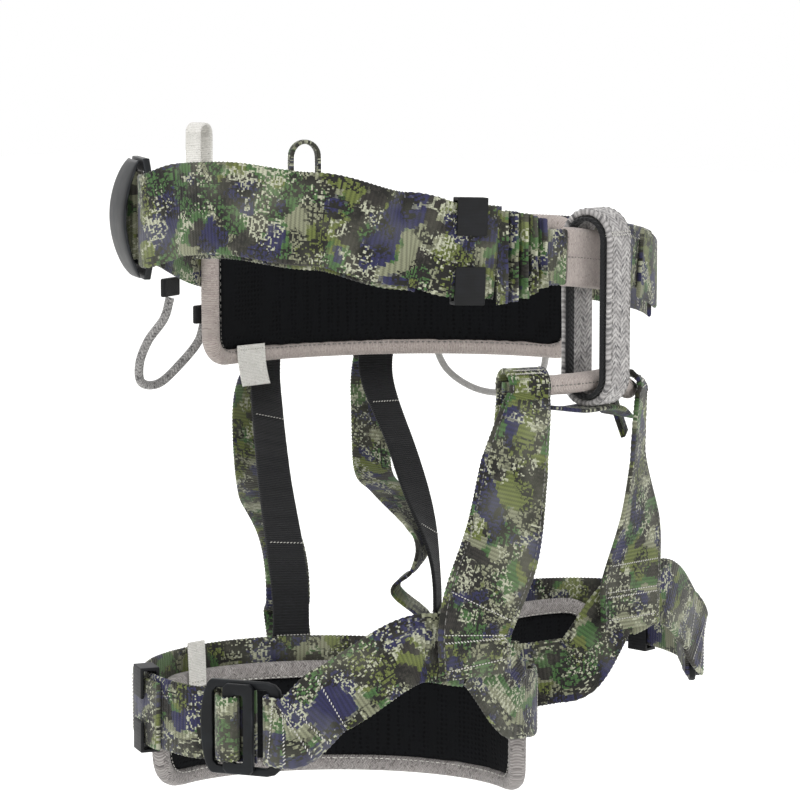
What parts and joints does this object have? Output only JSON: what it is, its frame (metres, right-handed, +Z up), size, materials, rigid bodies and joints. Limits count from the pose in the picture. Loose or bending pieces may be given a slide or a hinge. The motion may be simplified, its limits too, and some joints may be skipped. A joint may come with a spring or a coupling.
{
  "type": "sit harness",
  "caption": "Sit harness with a padded waist belt, an upright front belay loop, a bridge and two padded leg loops in patterned webbing, as worn.",
  "frame": {"origin": "middle of the waist ring at belt height, which is the wearer's waist", "axes": "+X to the wearer's left, -Y to the wearer's front, +Z up"},
  "size_m": [0.3559, 0.2768, 0.3143],
  "materials": {
    "camo_webbing": "woven polyamide webbing printed with a small-block green, olive, khaki, navy and brown pattern, matt",
    "camo_webbing_shade": "the same printed webbing where it lies in shade behind other layers, matt",
    "pad_mesh": "black spacer mesh over foam, matt",
    "beige_tape": "beige-grey woven tape, matt with a slight sheen",
    "melange_webbing": "grey flecked heavy weave, matt",
    "black_tape": "black woven tape or elastic, matt",
    "black_metal": "black satin coating on stamped metal",
    "black_plastic": "black moulded plastic, finely ribbed",
    "white_tape": "off-white woven tape, matt",
    "grey_cord": "smooth light grey sleeve over a stiff cord"
  },
  "bodies": {
    "waist": {"bridge_sleeve": "beige_tape", "bridge_webbing": "camo_webbing", "front_folded_webbing": "camo_webbing", "front_tab": "camo_webbing", "gear_anchor_left_back": "black_tape", "gear_anchor_left_front": "black_tape", "gear_anchor_right_back": "black_tape", "gear_anchor_right_front": "black_tape", "left_riser_elastic": "black_tape", "left_riser_webbing": "camo_webbing_shade", "leg_link_webbing": "camo_webbing_shade", "right_riser_elastic": "black_tape", "right_riser_webbing": "camo_webbing_shade", "tie_in_sleeve": "beige_tape", "tie_in_webbing": "camo_webbing", "waist_back_webbing": "camo_webbing", "waist_buckle_frame": "black_metal", "waist_front_underlayer": "camo_webbing_shade", "waist_front_webbing": "camo_webbing", "waist_left_webbing": "camo_webbing", "waist_pad": "pad_mesh", "waist_pad_binding": "beige_tape", "waist_tag": "white_tape"},
    "belay_loop": {"belay_loop": "melange_webbing", "belay_loop_lining": "black_tape"},
    "right_leg": {"right_leg_back_webbing": "camo_webbing", "right_leg_buckle_frame": "black_metal", "right_leg_front_band": "camo_webbing", "right_leg_inner_band": "camo_webbing", "right_leg_pad": "pad_mesh", "right_leg_pad_binding": "melange_webbing", "right_leg_rise_strap": "camo_webbing", "right_leg_tail_strap": "camo_webbing", "right_leg_tag": "white_tape"},
    "left_leg": {"left_leg_back_webbing": "camo_webbing", "left_leg_buckle_frame": "black_metal", "left_leg_front_band": "camo_webbing", "left_leg_inner_band": "camo_webbing", "left_leg_pad": "pad_mesh", "left_leg_pad_binding": "melange_webbing", "left_leg_rise_strap": "camo_webbing", "left_leg_tail_strap": "camo_webbing"},
    "waist_buckle_cover": {"waist_buckle_cover": "black_metal"},
    "waist_keeper": {"waist_keeper": "black_plastic"},
    "right_slider": {"right_leg_buckle_slider": "black_metal"},
    "left_slider": {"left_leg_buckle_slider": "black_metal"},
    "right_keeper": {"right_leg_keeper": "black_plastic"},
    "left_keeper": {"left_leg_keeper": "black_plastic"},
    "right_gear_loop": {"gear_loop_right": "melange_webbing"},
    "left_gear_loop": {"gear_loop_left": "grey_cord"},
    "haul_loop": {"haul_loop": "camo_webbing_shade"},
    "accessory_loop": {"accessory_loop": "white_tape"}
  },
  "joints": [
    {"name": "right_leg_swing", "type": "hinge", "parent": "waist", "child": "right_leg", "pos_m": [-0.041, -0.11151, -0.074], "axis": [0.893, -0.45, 0], "range_deg": [-25, 5], "stiffness_Nm_per_rad": 6, "springref_deg": 0.69, "deforming": ["right_riser_elastic", "right_riser_webbing"]},
    {"name": "left_leg_swing", "type": "hinge", "parent": "waist", "child": "left_leg", "pos_m": [0.04099, -0.11151, -0.08211], "axis": [0.8691, 0.44, -0.226], "range_deg": [-25, 5], "stiffness_Nm_per_rad": 6, "springref_deg": 0.69, "deforming": ["left_riser_elastic", "left_riser_webbing"]},
    {"name": "belay_loop_swing", "type": "hinge", "parent": "waist", "child": "belay_loop", "pos_m": [0.002, -0.119, 0.0003], "axis": [1, 0, 0], "range_deg": [-1.2, 1.8]},
    {"name": "waist_buckle_cover_tilt", "type": "hinge", "parent": "waist", "child": "waist_buckle_cover", "pos_m": [-0.106, 0.08407, 0.00156], "axis": [0, 0, -1], "range_deg": [0, 30]},
    {"name": "waist_keeper_travel", "type": "hinge", "parent": "waist", "child": "waist_keeper", "pos_m": [-0.0048, 0.024, -0.00906], "axis": [0, 0, 1], "range_deg": [-0.9, 0.8]},
    {"name": "right_slider_tilt", "type": "hinge", "parent": "right_leg", "child": "right_slider", "pos_m": [-0.16813, -0.03821, -0.225], "axis": [0, 0, -1], "range_deg": [0, 25]},
    {"name": "right_keeper_travel", "type": "hinge", "parent": "right_leg", "child": "right_keeper", "pos_m": [-0.1213, -0.00754, -0.22415], "axis": [0, 0, 1], "range_deg": [-3, 3]},
    {"name": "right_gear_loop_swing", "type": "hinge", "parent": "waist", "child": "right_gear_loop", "pos_m": [-0.02651, 0.12201, -0.05365], "axis": [0.8531, 0.0267, -0.521], "range_deg": [-5, 40], "stiffness_Nm_per_rad": 0.05},
    {"name": "left_slider_tilt", "type": "hinge", "parent": "left_leg", "child": "left_slider", "pos_m": [0.15639, -0.0722, -0.225], "axis": [0, 0, 1], "range_deg": [0, 25]},
    {"name": "left_keeper_travel", "type": "hinge", "parent": "left_leg", "child": "left_keeper", "pos_m": [0.13072, -0.02245, -0.22415], "axis": [0, 0, 1], "range_deg": [-3, 3]},
    {"name": "left_gear_loop_swing", "type": "hinge", "parent": "waist", "child": "left_gear_loop", "pos_m": [0.12786, 0.0419, -0.0615], "axis": [0.3953, -0.9186, 0], "range_deg": [-5, 40], "stiffness_Nm_per_rad": 0.05},
    {"name": "haul_loop_fold", "type": "hinge", "parent": "waist", "child": "haul_loop", "pos_m": [0.05727, 0.11272, -0.014], "axis": [-0.9326, 0.3609, 0], "range_deg": [0, 60], "stiffness_Nm_per_rad": 0.02},
    {"name": "accessory_loop_fold", "type": "hinge", "parent": "waist", "child": "accessory_loop", "pos_m": [-0.00997, 0.1255, -0.014], "axis": [-0.9981, -0.061, 0], "range_deg": [0, 60], "stiffness_Nm_per_rad": 0.02}
  ]
}
